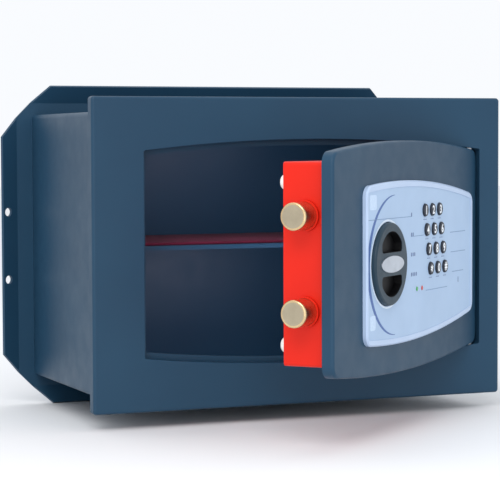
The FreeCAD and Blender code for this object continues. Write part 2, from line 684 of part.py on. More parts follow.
def guide_posts():
    """Two posts on the back of the door that guide the bar, each with a retaining clip."""
    clip_front = "bolt_depth + bar_thick / 2 + slot_play"
    level = "lock_line + post_height"
    radius = "post_diameter / 2"
    reach = f"{clip_front} + clip_thick + post_end - door_thick"
    posts, clips = [], []
    for index, across in enumerate(("post_first", "post_second")):
        posts.append(rod(f"post_{index}", "y", across, at_depth("door_thick"), level, radius, reach))
        disc = rod(f"clip_disc_{index}", "y", across, at_depth(clip_front), level,
                   "clip_diameter / 2", "clip_thick")
        bore = rod(f"clip_bore_{index}", "y", across, at_depth(f"{clip_front} - over"), level,
                   radius, "clip_thick + 2 * over")
        clips.append(cut(f"clip_{index}", disc, bore))
    finish(group("guide_posts", posts), "guide_posts", DOOR)
    finish(group("guide_clips", clips), "guide_clips", DOOR)


def solenoid():
    """Lock solenoid on a bracket, and the plunger that holds the bar where a notch faces it."""
    low = "lock_line - bar_below - plunger_gap"
    bottom = f"{low} - plunger_nose - solenoid_height"
    bracket = box("solenoid_plate", "solenoid_x - solenoid_width / 2 - bracket_margin",
                  at_depth("door_thick"), bottom, "solenoid_width + 2 * bracket_margin",
                  "bolt_depth - solenoid_width / 2 - door_thick", "solenoid_height")
    finish(group("solenoid_bracket", [bracket]), "solenoid_bracket", DOOR)
    coil = box("coil_block", "solenoid_x - solenoid_width / 2", at_depth("bolt_depth - solenoid_width / 2"),
               bottom, "solenoid_width", "solenoid_width", "solenoid_height")
    bore = rod("coil_bore", "z", "solenoid_x", at_depth("bolt_depth"), f"{bottom} + coil_floor",
               "plunger_diameter / 2 + coil_play", "solenoid_height")
    finish(cut("solenoid", coil, bore), "solenoid", DOOR)
    stem = rod("plunger_stem", "z", "solenoid_x", at_depth("bolt_depth"),
               f"{bottom} + coil_floor + plunger_foot", "plunger_diameter / 2",
               "solenoid_height + plunger_nose - coil_floor - plunger_foot")
    finish(group("plunger", [stem]), "plunger", DOOR)


# ---------------------------------------------------------------- knob, spindle and cam

def spindle():
    """Spindle with its bush in the door, the cam on its inner end and the cam pin."""
    start = f"{KNOB_BACK} - knob_socket"
    shaft = rod("spindle_rod", "y", "knob_x", at_depth(start), "lock_line", "spindle_diameter / 2",
                f"cam_front + cam_thick - ({start})")
    finish(group("knob_spindle", [shaft]), "knob_spindle", DOOR)
    length = "door_thick - knob_well + spindle_bush_end"
    outer = rod("bush_outer", "y", "knob_x", at_depth("knob_well"), "lock_line",
                "spindle_diameter / 2 + bush_wall", length)
    bore = rod("bush_inner", "y", "knob_x", at_depth("knob_well - over"), "lock_line",
               "spindle_diameter / 2 + pin_clearance", f"{length} + 2 * over")
    finish(cut("spindle_bush", outer, bore), "spindle_bush", DOOR)
    disc = rod("cam_disc", "y", "knob_x", at_depth("cam_front"), "lock_line",
               "cam_diameter / 2", "cam_thick")
    eye = rod("cam_eye", "y", "knob_x", at_depth("cam_front - over"), "lock_line",
              "spindle_diameter / 2", "cam_thick + 2 * over")
    pin_x, pin_z = "knob_x - cam_arm * sin(45)", "lock_line + cam_arm * cos(45)"
    seat_hole = rod("cam_pin_seat", "y", pin_x, at_depth("cam_front - over"), pin_z,
                    "cam_pin / 2", "cam_thick + 2 * over")
    finish(cut("drive_cam", disc, eye, seat_hole), "drive_cam", DOOR)
    pin = rod("pin_rod", "y", pin_x, at_depth("cam_front"), pin_z, "cam_pin / 2",
              "bolt_depth + bar_thick / 2 + cam_pin_end - cam_front")
    finish(group("cam_pin", [pin]), "cam_pin", DOOR)


def knob():
    """Knob with two finger recesses that leave a grip bar between them, dark inlays and a blank badge.

    A recess is the segment of a circle above or below the grip, with upright sides and rounded corners.
    """
    body = new_body("knob")
    outline = new_sketch(body)
    circle(outline, "knob_x", "lock_line", "knob_diameter / 2")
    pad(body, outline, "knob_height")
    fillet(body, at_y(-value("knob_height")), "knob_round")
    recess = new_sketch(body, "XZ_Plane", "knob_height - recess_depth")
    for sign in (1, -1):
        finger_recess(recess, sign)
    pocket(body, recess, "recess_depth", forwards=True)
    middle_x, level, reach = value("knob_x"), value("lock_line"), value("knob_recess / 2")

    def recess_corners(middle, along, box):
        near = math.hypot(middle.x - middle_x, middle.z - level) < reach + TOUCH
        return near and corner_edges(middle, along, box)

    fillet(body, recess_corners, "recess_corner")
    socket = new_sketch(body)
    circle(socket, "knob_x", "lock_line", "spindle_diameter / 2")
    pocket(body, socket, "knob_socket", forwards=True)
    finish(body, "knob", DOOR, y=at_depth(KNOB_BACK))

    floor = f"{KNOB_BACK} - knob_height + recess_depth"
    for label, sign in (("knob_inlay_upper", 1), ("knob_inlay_lower", -1)):
        inlay = new_body(label)
        shape = new_sketch(inlay)
        finger_recess(shape, sign)
        pad(inlay, shape, "inlay_thick")
        fillet(inlay, corner_edges, "recess_corner")
        finish(inlay, label, DOOR, y=at_depth(floor))

    plate = new_body("knob_badge")
    oval = new_sketch(plate)
    ellipse(oval, "knob_x", "lock_line", "badge_length / 2", "badge_width / 2")
    pad(plate, oval, "badge_thick")
    finish(plate, "knob_badge", DOOR, y=at_depth(f"{KNOB_BACK} - knob_height"))


def finger_recess(sketch, sign):
    """One recess above (sign 1) or below (sign -1) the grip: a straight edge, two sides and an arc."""
    middle_x, level = value("knob_x"), value("lock_line")
    side, near, radius = value("recess_width / 2"), value("grip_width / 2"), value("knob_recess / 2")
    far = math.sqrt(radius**2 - side**2)

    def point(across, up):
        return FreeCAD.Vector(middle_x + across, level + sign * up, 0)

    chord = sketch.addGeometry(Part.LineSegment(point(-side, near), point(side, near)), False)
    left = sketch.addGeometry(Part.LineSegment(point(-side, near), point(-side, far)), False)
    right = sketch.addGeometry(Part.LineSegment(point(side, near), point(side, far)), False)
    arc = sketch.addGeometry(Part.Arc(point(-side, far), point(0, radius), point(side, far)), False)
    left_end, right_end = (2, 1) if sign > 0 else (1, 2)
    sketch.addConstraint(Sketcher.Constraint("Horizontal", chord))
    for line, chord_end, arc_end in ((left, 1, left_end), (right, 2, right_end)):
        sketch.addConstraint(Sketcher.Constraint("Vertical", line))
        sketch.addConstraint(Sketcher.Constraint("Coincident", chord, chord_end, line, 1))
        sketch.addConstraint(Sketcher.Constraint("Coincident", line, 2, arc, arc_end))
    dimension(sketch, "Radius", (arc,), "knob_recess / 2")
    dimension(sketch, "DistanceX", (-1, 1, arc, 3), "knob_x")
    dimension(sketch, "DistanceY", (-1, 1, arc, 3), "lock_line")
    dimension(sketch, "DistanceX", (-1, 1, left, 1), "knob_x - recess_width / 2")
    dimension(sketch, "DistanceX", (-1, 1, right, 1), "knob_x + recess_width / 2")
    dimension(sketch, "DistanceY", (-1, 1, chord, 1), f"lock_line + {sign} * grip_width / 2")


def ellipse(sketch, across, up, major, minor):
    centre = FreeCAD.Vector(value(across), value(up), 0)
    curve = Part.Ellipse(centre, value(major), value(minor))
    index = sketch.addGeometry(curve, False)
    dimension(sketch, "DistanceX", (-1, 1, index, 3), across)
    dimension(sketch, "DistanceY", (-1, 1, index, 3), up)


# ---------------------------------------------------------------- control panel and keypad

def panel_outline(sketch, inset="0", left_inset="0"):
    arched_outline(
        sketch, f"panel_left + {left_inset}", f"panel_right - {inset}", f"panel_half - {inset}",
        f"panel_arch - {inset}", "panel_middle", "lock_line",
    )


def keypad_cavity(sketch):
    """The room for the keypad board, cut half into the door and half into the panel."""
    rectangle(sketch, "led_green_x - key_flange / 2", KEYPAD_RIGHT,
              "led_height - key_flange / 2", "key_top + key_flange + cavity_slack")


def key_places():
    """The column and row formulas of the twelve keys, row by row."""
    for row in range(4):
        for column in range(3):
            yield f"key_left + {column} * key_pitch + {row} * key_slant", f"key_top - {row} * key_pitch"


def control_panel():
    """Low moulding on the door front with a bevelled border and a sunk face."""
    body = new_body("control_panel")
    outline = new_sketch(body)
    panel_outline(outline)
    pad(body, outline, "panel_thick")
    fillet(body, corner_edges, "panel_corner")
    chamfer(body, at_y(-value("panel_thick")), "panel_bevel")
    sunk = new_sketch(body, "XZ_Plane", "panel_thick - panel_sink")
    panel_outline(sunk, "panel_border", "panel_left_border")
    pocket(body, sunk, "panel_sink", forwards=True)
    holes = new_sketch(body)
    for across, up in key_places():
        circle(holes, across, up, "key_diameter / 2 + key_gap")
    circle(holes, "knob_x", "lock_line", "knob_hole / 2")
    for across in ("led_green_x", "led_red_x"):
        circle(holes, across, "led_height", "led_diameter / 2")
    pocket(body, holes, "3 * panel_thick", both_ways=True)
    cavity = new_sketch(body)
    keypad_cavity(cavity)
    pocket(body, cavity, BOARD_ROOM, forwards=True)
    finish(body, "control_panel", DOOR, y=at_depth("0"))

    overlay = new_body("panel_overlay")
    film = new_sketch(overlay)
    panel_outline(film, "panel_border", "panel_left_border")
    pad(overlay, film, "overlay_thick")
    openings = new_sketch(overlay)
    for across, up in key_places():
        circle(openings, across, up, "key_diameter / 2 + key_gap")
    circle(openings, "knob_x", "lock_line", "knob_hole / 2")
    for across in ("led_green_x", "led_red_x"):
        circle(openings, across, "led_height", "led_diameter / 2")
    pocket(overlay, openings, "3 * overlay_thick", both_ways=True)
    finish(overlay, "panel_overlay", DOOR, y=at_depth("panel_sink - panel_thick"))


def keypad():
    """Twelve flanged key caps, the board under them and two indicator lamps."""
    names = ["1", "2", "3", "4", "5", "6", "7", "8", "9", "star", "0", "hash"]
    for name, (across, up) in zip(names, key_places()):
        body = new_body(f"key_{name}")
        cap = new_sketch(body)
        circle(cap, across, up, "key_diameter / 2")
        pad(body, cap, "panel_wall + overlay_thick + key_proud + key_slack")
        fillet(body, at_y(-value("panel_wall + overlay_thick + key_proud + key_slack")), "key_round")
        flange = new_sketch(body)
        circle(flange, across, up, "key_flange / 2")
        pad(body, flange, "key_flange_thick", backwards=True)
        finish(body, f"key_{name}", DOOR, y=at_depth(f"key_slack - ({BOARD_ROOM})"))
    board = box("board_blank", "led_green_x - key_diameter / 2", at_depth(BOARD_FRONT),
                "led_height - key_diameter / 2", f"{KEYPAD_RIGHT} - led_green_x", "keypad_thick",
                "key_top - led_height + key_diameter / 2 + key_flange")
    finish(group("keypad_board", [board]), "keypad_board", DOOR)
    lamp_height = f"led_round - ({PANEL_FACE}) + {BOARD_FRONT}"
    for label, across in (("led_green", "led_green_x"), ("led_red", "led_red_x")):
        lamp = new_body(label)
        outline = new_sketch(lamp)
        circle(outline, across, "led_height", "led_diameter / 2")
        pad(lamp, outline, lamp_height)
        fillet(lamp, at_y(-value(lamp_height)), "led_round")
        finish(lamp, label, DOOR, y=at_depth(BOARD_FRONT))


# ---------------------------------------------------------------- electronics behind the door

def electronics():
    """Main board on spacers, battery holder, four cells and the cables between them."""
    board = box("main_board_blank", "board_left", at_depth("board_depth"), "board_low",
                "board_length", "board_thick", "board_height")
    finish(group("control_board", [board]), "control_board", DOOR)
    spacers = [
        rod(f"spacer_{x}_{z}", "y", f"board_left + spacer_inset + {x} * (board_length - 2 * spacer_inset)",
            at_depth("door_thick"), f"board_low + spacer_inset + {z} * (board_height - 2 * spacer_inset)",
            "spacer_diameter / 2", "board_depth - door_thick")
        for x in (0, 1)
        for z in (0, 1)
    ]
    finish(group("board_spacers", spacers), "board_spacers", DOOR)
    front = "door_thick + holder_floor"
    tray = box("holder_blank", "holder_left", at_depth("door_thick"), "holder_low",
               "cell_length + 2 * (holder_wall + cell_play)", "holder_side",
               "4 * cell_pitch + 2 * holder_wall")
    room = box("holder_room", "holder_left + holder_wall", at_depth(front), "holder_low + holder_wall",
               "cell_length + 2 * cell_play", "cell_diameter + holder_side", "4 * cell_pitch")
    finish(cut("battery_holder", tray, room), "battery_holder", DOOR)
    cell_y = at_depth(f"{front} + cell_diameter / 2 + cell_lift")
    cells = [
        rod(f"cell_{index}", "x", "holder_left + holder_wall + cell_play", cell_y,
            f"holder_low + holder_wall + {index + 0.5} * cell_pitch", "cell_diameter / 2", "cell_length")
        for index in range(4)
    ]
    finish(group("batteries", cells), "batteries", DOOR)


def cable(points, radius):
    """A round cable along straight runs, with a ball at each bend."""
    pieces = [Part.makeSphere(radius, point) for point in points[1:-1]]
    for start, end in zip(points, points[1:]):
        run = end - start
        pieces.append(Part.makeCylinder(radius, run.Length, start, run))
    return pieces[0].multiFuse(pieces[1:])


def wiring():
    """Cables held along their whole way: keypad to board, holder to board and solenoid to board."""
    radius = value("cable_diameter / 2")
    depth = value("board_depth - cable_lift - overall_depth")
    board_face = value("board_depth - overall_depth")
    board_rear = value("board_depth + board_thick - overall_depth")
    keypad_x, level = value(KEYPAD_X), value("lock_line")
    board_top = value("board_low + board_height")
    front = value("board_well - board_back - overall_depth")
    holder_x = value("holder_left + battery_cable_inset")
    keypad_end = board_top - value("cable_drop")
    battery_end = board_top - value("battery_cable_drop")
    coil_x = value("solenoid_x + solenoid_width / 2")
    coil_y = value("bolt_depth - overall_depth")
    coil_z = value("lock_line - bar_below - plunger_gap - plunger_nose - solenoid_height / 2")
    turn_x = value("board_left - cable_lift")
    coil_end_x = value("board_left + coil_cable_inset")
    coil_end_z = board_top - value("coil_cable_drop")
    routes = {
        "cable_keypad": [
            (keypad_x, front, level),
            (keypad_x, depth, level),
            (keypad_x, depth, keypad_end),
            (keypad_x, board_face, keypad_end),
        ],
        "cable_battery": [
            (holder_x, depth, value("holder_low")),
            (holder_x, depth, battery_end),
            (holder_x, board_face, battery_end),
        ],
        "cable_solenoid": [
            (coil_x, coil_y, coil_z),
            (turn_x, coil_y, coil_z),
            (turn_x, coil_y, coil_end_z),
            (coil_end_x, coil_y, coil_end_z),
            (coil_end_x, board_rear, coil_end_z),
        ],
    }
    for label, places in routes.items():
        feature = document.addObject("Part::Feature", label)
        feature.Shape = cable([FreeCAD.Vector(*place) for place in places], radius)
        finish(feature, label, DOOR)


# ---------------------------------------------------------------- build, check and write

for make in (front_frame, body_shell, rear_plate, door_stop_frame, bolt_keeper, shelf, mats, door_panel,
             hinge_pins, lock_case, bolt_bushes, bolts, bolt_bar, guide_posts, solenoid, spindle, knob,
             control_panel, keypad, electronics, wiring):
    make()
document.recompute()

for thing in document.Objects:
    if any(state in BAD_STATES for state in thing.State):
        raise RuntimeError(f"{thing.Name} failed: {thing.State}")

os.makedirs("parts", exist_ok=True)
for node in nodes:
    if node.Shape.isNull() or not node.Shape.isValid():
        raise RuntimeError(f"{node.Label} has no valid shape")
    node.Shape.exportStep(os.path.join("parts", node.Label + ".step"))
print(len(nodes), "nodes written")
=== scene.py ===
"""Looks of a wall safe: paint, metal and plastic finishes, printed control panel, key legends,
felt mats, board components, weld bead, and the studio with its camera.

Metres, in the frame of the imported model: +Z up, +Y into the wall, the front plate looks along -Y.
Everything on the door is laid out in the shut door's frame and then turned about the hinge with it.
"""

import json
import math
import random

import bmesh
import bpy
from mathutils import Matrix, Vector, noise


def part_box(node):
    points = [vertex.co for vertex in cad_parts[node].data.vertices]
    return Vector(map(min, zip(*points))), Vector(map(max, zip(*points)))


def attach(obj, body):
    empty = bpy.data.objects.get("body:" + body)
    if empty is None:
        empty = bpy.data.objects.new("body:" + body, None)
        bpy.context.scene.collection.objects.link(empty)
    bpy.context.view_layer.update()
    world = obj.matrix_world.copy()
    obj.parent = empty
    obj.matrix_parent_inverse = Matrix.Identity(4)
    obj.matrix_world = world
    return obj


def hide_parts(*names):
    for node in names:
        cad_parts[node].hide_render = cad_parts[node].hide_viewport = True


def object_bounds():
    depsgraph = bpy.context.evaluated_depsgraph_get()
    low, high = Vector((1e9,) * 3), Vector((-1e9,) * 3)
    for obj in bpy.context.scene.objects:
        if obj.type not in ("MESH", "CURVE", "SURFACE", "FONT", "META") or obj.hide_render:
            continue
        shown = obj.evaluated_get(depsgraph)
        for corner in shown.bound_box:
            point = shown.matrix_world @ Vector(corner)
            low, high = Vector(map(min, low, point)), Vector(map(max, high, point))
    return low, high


MM = 0.001

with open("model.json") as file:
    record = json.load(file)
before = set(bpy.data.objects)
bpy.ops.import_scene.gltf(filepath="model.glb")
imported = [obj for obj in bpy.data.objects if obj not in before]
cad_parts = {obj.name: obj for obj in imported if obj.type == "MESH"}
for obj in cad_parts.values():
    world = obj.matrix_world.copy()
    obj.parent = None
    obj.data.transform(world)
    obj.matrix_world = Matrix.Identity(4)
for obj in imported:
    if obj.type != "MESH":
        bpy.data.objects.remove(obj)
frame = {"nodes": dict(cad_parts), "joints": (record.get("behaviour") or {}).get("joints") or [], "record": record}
cad_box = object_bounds()

random.seed(7)

joints = {joint["name"]: joint for joint in frame["joints"]}
hinge = Vector(joints["door_swing"]["pos_m"])
across = Vector(joints["bolt_slide"]["axis"])
door_angle = math.atan2(across.y, across.x)
door_turn = Matrix.Translation(hinge) @ Matrix.Rotation(door_angle, 4, "Z") @ Matrix.Translation(-hinge)
door_unturn = door_turn.inverted()


# ---------------------------------------------------------------- where things are

def shut_box(node):
    """Lowest and highest corner of a door node when the door is shut."""
    points = [door_unturn @ vertex.co for vertex in frame["nodes"][node].data.vertices]
    low = Vector([min(point[axis] for point in points) for axis in range(3)])
    high = Vector([max(point[axis] for point in points) for axis in range(3)])
    return low, high


def middle(box):
    return (box[0] + box[1]) / 2


# ---------------------------------------------------------------- materials

def linear(red, green, blue):
    """Linear colour of an sRGB triple from 0 to 255, with full opacity."""
    def channel(value):
        share = value / 255
        return share / 12.92 if share <= 0.04045 else ((share + 0.055) / 1.055) ** 2.4

    return channel(red), channel(green), channel(blue), 1.0


class Finish:
    """A material built step by step: even values sit on the shader's sockets, textures are linked."""

    def __init__(self, name, colour, roughness, metallic=0.0, **even):
        self.material = bpy.data.materials.new(name)
        self.material.use_nodes = True
        self.tree = self.material.node_tree
        self.shader = self.tree.nodes["Principled BSDF"]
        self.colour = linear(*colour)
        self.roughness = roughness
        self.vector = None
        self.height = None
        self.put("Base Color", self.colour)
        self.put("Roughness", roughness)
        self.put("Metallic", metallic)
        for socket, level in even.items():
            self.put(socket.replace("_", " "), level)
        self.material.diffuse_color = self.colour

    def put(self, socket, level):
        self.shader.inputs[socket].default_value = level

    def node(self, kind, **inputs):
        made = self.tree.nodes.new("ShaderNode" + kind)
        for name, level in inputs.items():
            socket = made.inputs[name.replace("_", " ")]
            if isinstance(level, bpy.types.NodeSocket):
                self.tree.links.new(level, socket)
            else:
                socket.default_value = level
        return made

    def place(self, stretch=(1, 1, 1), turned=False):
        """Texture coordinates fixed to the piece, turned into the shut door's axes and stretched."""
        source = self.node("TexCoord").outputs["Object"]
        if turned:
            source = self.node("Mapping", Vector=source, Rotation=(0, 0, -door_angle)).outputs["Vector"]
        return self.node("Mapping", Vector=source, Scale=stretch).outputs["Vector"]

    def noise(self, scale, detail=3, stretch=(1, 1, 1), turned=False):
        """Noise with `scale` lumps to the metre."""
        vector = self.place(stretch, turned)
        return self.node("TexNoise", Vector=vector, Scale=scale, Detail=detail).outputs["Fac"]

    def spread(self, factor, low, high, start=0.3, end=0.7):
        """The factor's range from start to end, stretched to run from low to high."""
        ranged = self.node("MapRange", Value=factor)
        levels = {"From Min": start, "From Max": end, "To Min": low, "To Max": high}
        for socket, level in levels.items():
            ranged.inputs[socket].default_value = level
        return ranged.outputs["Result"]

    def tint(self, factor, other):
        """Lets the base colour wander towards another colour with a factor from 0 to 1."""
        base = self.shader.inputs["Base Color"]
        mix = self.node("MixRGB", Fac=factor, Color2=linear(*other))
        if base.is_linked:
            self.tree.links.new(base.links[0].from_socket, mix.inputs["Color1"])
        else:
            mix.inputs["Color1"].default_value = self.colour
        self.tree.links.new(mix.outputs["Color"], base)
        return self

    def uneven_gloss(self, factor, swing):
        level = self.spread(factor, self.roughness - swing, self.roughness + swing)
        self.tree.links.new(level, self.shader.inputs["Roughness"])
        return self

    def bump(self, height, depth, strength=1.0):
        """Adds relief of a real depth in metres on top of what is there already."""
        relief = self.node("Bump", Height=height, Distance=depth, Strength=strength)
        normal = self.shader.inputs["Normal"]
        if normal.is_linked:
            self.tree.links.new(normal.links[0].from_socket, relief.inputs["Normal"])
        self.tree.links.new(relief.outputs["Normal"], normal)
        return self


def powder_coat(name, colour, other, roughness=0.42):
    """Satin powder coat: fine orange peel, faint clouds of shade and gloss."""
    finish = Finish(name, colour, roughness, Specular_IOR_Level=0.24)
    clouds = finish.noise(9, detail=4)
    finish.tint(finish.spread(clouds, 0, 0.6), other)
    finish.uneven_gloss(finish.noise(55), 0.05)
    finish.bump(finish.noise(650, detail=2), 0.05 * MM, 0.5)
    finish.bump(finish.noise(3200, detail=1), 0.015 * MM, 0.5)
    return finish.material


def moulded(name, colour, roughness, depth=0.02 * MM, **even):
    """Moulded plastic with a fine spark-eroded texture."""
    finish = Finish(name, colour, roughness, **even)
    finish.uneven_gloss(finish.noise(90), 0.04)
    shade = [max(0, channel - 10) for channel in colour]
    finish.tint(finish.spread(finish.noise(30), 0, 0.5), shade)
    finish.bump(finish.noise(4500, detail=1), depth, 0.6)
    return finish.material


def turned_metal(name, colour, roughness, stretch=(1, 1, 1), marks=2600, depth=0.01 * MM):
    """Metal with fine tool marks across the door's axes, closer together along the stretched one."""
    finish = Finish(name, colour, roughness, metallic=1.0)
    grooves = finish.noise(marks, detail=2, stretch=stretch, turned=True)
    finish.uneven_gloss(grooves, 0.08)
    shade = [channel * 0.82 for channel in colour]
    finish.tint(finish.spread(finish.noise(60, detail=4), 0, 0.55), shade)
    finish.bump(grooves, depth, 0.5)
    return finish.material


def felt(name, colour, fleck):
    """Needled felt: matted fibres, flecks of a paler yarn and a soft sheen."""
    finish = Finish(name, colour, 0.95, Sheen_Weight=0.06, Sheen_Roughness=0.5, Specular_IOR_Level=0.1)
    fibres = finish.noise(1500, detail=6, stretch=(1, 0.45, 1))
    finish.tint(finish.spread(fibres, 0, 0.75, 0.42, 0.72), fleck)
    shade = [channel * 0.6 for channel in colour]
    finish.tint(finish.spread(finish.noise(25, detail=3), 0, 0.35), shade)
    finish.bump(fibres, 0.5 * MM, 0.8)
    return finish.material


def circuit_board(name):
    """Green solder mask over copper tracks."""
    finish = Finish(name, (24, 88, 54), 0.35, Coat_Weight=0.4)
    tracks = finish.node("TexBrick", Vector=finish.place((1, 1, 1), True), Scale=120)
    for socket, grey in (("Color1", 0), ("Color2", 0.2), ("Mortar", 1)):
        tracks.inputs[socket].default_value = (grey, grey, grey, 1)
    finish.tint(finish.spread(tracks.outputs["Fac"], 0, 0.5, 0, 1), (60, 140, 84))
    finish.bump(tracks.outputs["Fac"], 0.04 * MM, 0.6)
    finish.uneven_gloss(finish.noise(200), 0.05)
    return finish.material


def ink(name, colour):
    """Screen print: even colour with the faint mottle of a printed film."""
    finish = Finish(name, colour, 0.4)
    paler = [min(255, channel + 40) for channel in colour]
    finish.tint(finish.spread(finish.noise(500), 0, 0.3), paler)
    finish.bump(finish.noise(5000, detail=1), 0.004 * MM, 0.5)
    return finish.material


STEEL = (176, 178, 182)

MATERIALS = {
    "case_paint": powder_coat("case_paint", (34, 68, 92), (30, 60, 83)),
    "orange_paint": powder_coat("orange_paint", (224, 34, 12), (210, 28, 10), 0.4),
    "bright_steel": turned_metal("bright_steel", STEEL, 0.3),
    "brass": turned_metal("brass", (204, 164, 96), 0.28),
    "bolt_metal": turned_metal("bolt_metal", (224, 196, 150), 0.27, stretch=(1, 0.05, 0.05)),
    "badge_silver": turned_metal("badge_silver", (206, 213, 222), 0.36, stretch=(0.05, 1, 1)),
    "white_plastic": moulded("white_plastic", (232, 232, 228), 0.35),
    "black_plastic": moulded("black_plastic", (9, 9, 12), 0.5, depth=0.03 * MM, Specular_IOR_Level=0.3),
    "knob_plastic": moulded("knob_plastic", (30, 54, 68), 0.42, 0.03 * MM, Specular_IOR_Level=0.35),
    "key_plastic": moulded("key_plastic", (30, 37, 50), 0.42, Specular_IOR_Level=0.35),
    "panel_plastic": moulded("panel_plastic", (180, 200, 228), 0.32, Coat_Weight=0.1),
    "panel_film": moulded("panel_film", (166, 191, 220), 0.4, depth=0.008 * MM),
    "board_green": circuit_board("board_green"),
    "green_lens": moulded("green_lens", (50, 150, 74), 0.12, Coat_Weight=0.5),
    "red_lens": moulded("red_lens", (186, 52, 50), 0.12, Coat_Weight=0.5),
    "battery_jacket": moulded("battery_jacket", (52, 54, 62), 0.3, Coat_Weight=0.3),
    "cable_jacket": moulded("cable_jacket", (28, 28, 32), 0.5),
    "wine_felt": felt("wine_felt", (88, 22, 46), (124, 50, 76)),
    "navy_felt": felt("navy_felt", (34, 36, 70), (62, 66, 104)),
}

dark_ink = ink("dark_ink", (52, 88, 150))
line_ink = ink("line_ink", (106, 134, 172))
mark_ink = ink("mark_ink", (78, 100, 144))
legend_ink = ink("legend_ink", (232, 238, 244))
chip_black = moulded("chip_black", (22, 22, 24), 0.4)
solder = turned_metal("solder", (196, 198, 202), 0.25)
copper = turned_metal("copper", (202, 142, 96), 0.3)
beige_plastic = moulded("beige_plastic", (222, 214, 190), 0.4)
capacitor_sleeve = moulded("capacitor_sleeve", (40, 48, 96), 0.3)

for part in frame["record"]["subparts"]:
    shown = frame["nodes"][part["node"]]
    shown.data.materials.clear()
    shown.data.materials.append(MATERIALS[part["material_slot"]])


# ---------------------------------------------------------------- soft edges on the carried-over parts

# Width of the rounding on each part's edges, in mm.
EDGE_WIDTHS = {
    "front_frame": 0.5, "body_shell": 0.4, "rear_plate": 0.5, "door_stop_frame": 0.3,
    "bolt_keeper": 0.4, "shelf": 0.3, "shelf_rails": 0.3, "door_panel": 0.4, "lock_case": 0.3,
    "lock_case_cover": 0.4, "bolt_bushes": 0.3, "bolt_bar": 0.4, "knob": 0.4, "knob_badge": 0.3,
    "control_panel": 0.35, "drive_cam": 0.3, "solenoid": 0.5, "solenoid_bracket": 0.3,
    "battery_holder": 0.3, "bolt_screws": 0.4, "batteries": 0.4, "plunger": 0.3, "guide_posts": 0.3,
    "case_studs": 0.3, "cam_pin": 0.3,
}
# Edges that turn by more than this are rounded.
SHARP = math.radians(32)


def soften(thing, width, segments=2):
    """Shades a piece smooth across its gentle edges and rounds off the sharp ones a little."""
    thing.data.shade_smooth()
    rounding = thing.modifiers.new("soft_edges", "BEVEL")
    rounding.width = width
    rounding.segments = segments
    rounding.limit_method = "ANGLE"
    rounding.angle_limit = SHARP
    rounding.harden_normals = True


for name, width in EDGE_WIDTHS.items():
    soften(frame["nodes"][name], width * MM)


# ---------------------------------------------------------------- helpers for the added pieces

def ready(name, mesh, material, body, width=0.0):
    """Links a mesh as a piece with its material and slot, rounds its edges and hangs it on a body."""
    piece = bpy.data.objects.new(name, mesh)
    bpy.context.scene.collection.objects.link(piece)
    mesh.materials.append(material)
    if width:
        soften(piece, width * MM)
    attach(piece, body)
    return piece


def into_mesh(name, shapes):
    """A mesh from a bmesh in metres, with its faces looking outwards."""
    bmesh.ops.recalc_face_normals(shapes, faces=shapes.faces)
    mesh = bpy.data.meshes.new(name)
    shapes.to_mesh(mesh)
    shapes.free()
    return mesh


def on_door(name, shapes, material, width=0.0, body="door"):
    """A piece drawn in the shut door's frame and turned with the door."""
    bmesh.ops.transform(shapes, matrix=door_turn, verts=shapes.verts)
    return ready(name, into_mesh(name, shapes), material, body, width)


def add_prism(shapes, outline, front, back):
    """A flat prism from an outline of (x, z) points, between two depths y."""
    near = [shapes.verts.new((x, front, z)) for x, z in outline]
    far = [shapes.verts.new((x, back, z)) for x, z in outline]
    shapes.faces.new(near)
    shapes.faces.new(list(reversed(far)))
    count = len(outline)
    for index in range(count):
        after = (index + 1) % count
        shapes.faces.new((near[index], far[index], far[after], near[after]))


def add_block(shapes, low, high):
    """A box between its lowest and its highest corner."""
    outline = [(low[0], low[2]), (high[0], low[2]), (high[0], high[2]), (low[0], high[2])]
    add_prism(shapes, outline, low[1], high[1])


def add_band(shapes, centre_line, widths, front, back):
    """A flat band along points (x, z) whose width changes from point to point."""
    left, right = [], []
    for index, (x, z) in enumerate(centre_line):
        before = Vector(centre_line[max(index - 1, 0)])
        after = Vector(centre_line[min(index + 1, len(centre_line) - 1)])
        along = (after - before).normalized()
        side = Vector((-along.y, along.x)) * widths[index] / 2
        left.append((x + side.x, z + side.y))
        right.append((x - side.x, z - side.y))
    for first, second, third, fourth in zip(left, left[1:], right[1:], right):
        add_prism(shapes, [first, second, third, fourth], front, back)
    bmesh.ops.remove_doubles(shapes, verts=shapes.verts, dist=1e-6)


def add_rod(shapes, start, end, radius, segments=20):
    """A closed cylinder between two points."""
    start, end = Vector(start), Vector(end)
    run = end - start
    turn = run.to_track_quat("Z", "Y").to_matrix().to_4x4()
    bmesh.ops.create_cone(
        shapes, cap_ends=True, segments=segments, radius1=radius, radius2=radius, depth=run.length,
        matrix=Matrix.Translation((start + end) / 2) @ turn,
    )


def sew(shapes, loops):
    """Faces between each loop of vertices and the next."""
    for near, far in zip(loops, loops[1:]):
        count = len(near)
        for index in range(count):
            after = (index + 1) % count
            shapes.faces.new((near[index], near[after], far[after], far[index]))


def round_about(steps):
    """Cosine and sine at even steps round a circle."""
    angles = [2 * math.pi * step / steps for step in range(steps)]
    return [(math.cos(angle), math.sin(angle)) for angle in angles]


def rounded(x, z, width, height, corner, steps=4):
    """Outline of a rectangle with round corners about its centre."""
    outline = []
    for turn, (sign_x, sign_z) in enumerate(((1, 1), (-1, 1), (-1, -1), (1, -1))):
        hub_x = x + sign_x * (width / 2 - corner)
        hub_z = z + sign_z * (height / 2 - corner)
        for step in range(steps + 1):
            angle = math.radians(90 * turn + 90 * step / steps)
            outline.append((hub_x + corner * math.cos(angle), hub_z + corner * math.sin(angle)))
    return outline


# ---------------------------------------------------------------- print on the control panel

